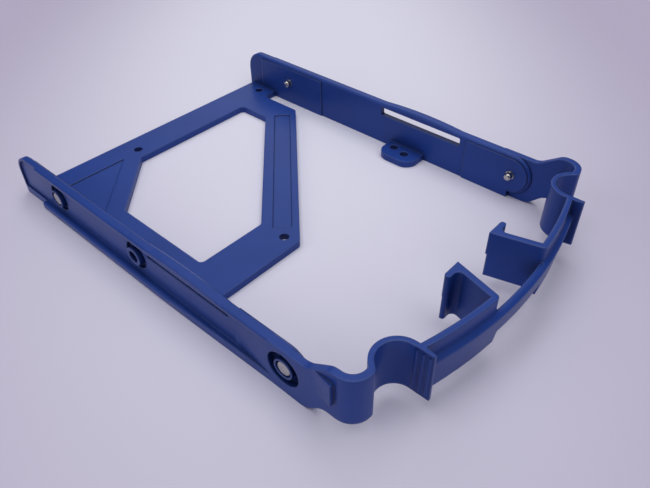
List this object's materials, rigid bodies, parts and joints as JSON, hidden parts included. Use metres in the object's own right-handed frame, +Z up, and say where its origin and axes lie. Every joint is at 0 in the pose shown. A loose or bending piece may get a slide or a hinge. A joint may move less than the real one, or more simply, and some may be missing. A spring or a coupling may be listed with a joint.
{
  "type": "hard drive tray",
  "caption": "Moulded tray that clips round one hard drive: two channel rails with steel pins, an adapter plate with a window for a small drive, a fixing lug and a sprung bow handle.",
  "frame": {"origin": "middle of the overall box, on the plane of the underside", "axes": "+X to the side of the fixing lug, -Y towards the bow handle, +Z up from the underside"},
  "size_m": [0.1114, 0.1588, 0.0206],
  "materials": {
    "frame": "satin moulded",
    "pins": "plated, turned"
  },
  "bodies": {
    "root": {"moulded_frame": "frame", "pin_rear_left": "pins", "pin_rear_right": "pins", "pin_front_left": "pins", "pin_front_right": "pins"}
  },
  "joints": []
}
